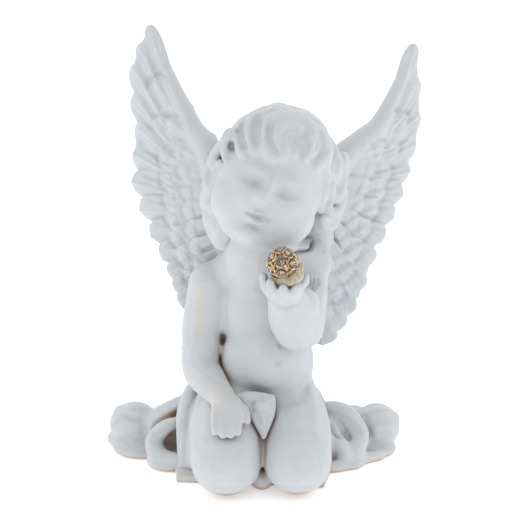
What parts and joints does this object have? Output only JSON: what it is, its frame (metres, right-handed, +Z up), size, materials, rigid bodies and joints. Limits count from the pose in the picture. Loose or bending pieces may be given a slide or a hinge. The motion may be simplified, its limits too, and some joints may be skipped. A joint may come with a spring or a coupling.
{
  "type": "resin angel figurine",
  "caption": "Kneeling winged cherub figurine in matt white cast resin, holding a small gold ball set with crystals in its raised hand; free-standing on a flat base.",
  "frame": {"origin": "centre of the figure's footprint, on the plane it stands on", "axes": "+Z up; the figure faces -Y; +X is the figure's left"},
  "size_m": [0.0598, 0.0398, 0.0815],
  "materials": {
    "resin": "matt white cast resin with a soft grain",
    "cast_base": "matt white cast resin, ground flat underneath",
    "gold_plate": "bright gold plating",
    "crystal": "clear cut crystal with a foiled back",
    "glue": "dried, slightly yellow clear glue"
  },
  "bodies": {
    "root": {"base_slab": "cast_base", "torso_and_legs": "resin", "head_with_hair": "resin", "right_forearm_and_hand": "resin", "left_forearm_and_hand": "resin", "right_wing": "resin", "left_wing": "resin", "drapery_rear": "resin", "drapery_right_heap": "resin", "drapery_left_heap": "resin", "drapery_hip_fall": "resin", "drapery_lap_corner": "resin", "glue_pad": "glue", "ball_shell": "gold_plate", "crystal_01": "crystal", "crystal_02": "crystal", "crystal_03": "crystal", "crystal_04": "crystal", "crystal_05": "crystal", "crystal_06": "crystal", "crystal_07": "crystal", "crystal_08": "crystal", "crystal_09": "crystal", "crystal_10": "crystal", "crystal_11": "crystal", "crystal_12": "crystal", "crystal_13": "crystal", "crystal_14": "crystal", "crystal_15": "crystal", "crystal_16": "crystal", "crystal_17": "crystal", "crystal_18": "crystal", "crystal_19": "crystal", "crystal_20": "crystal", "crystal_21": "crystal", "crystal_22": "crystal"}
  },
  "joints": []
}
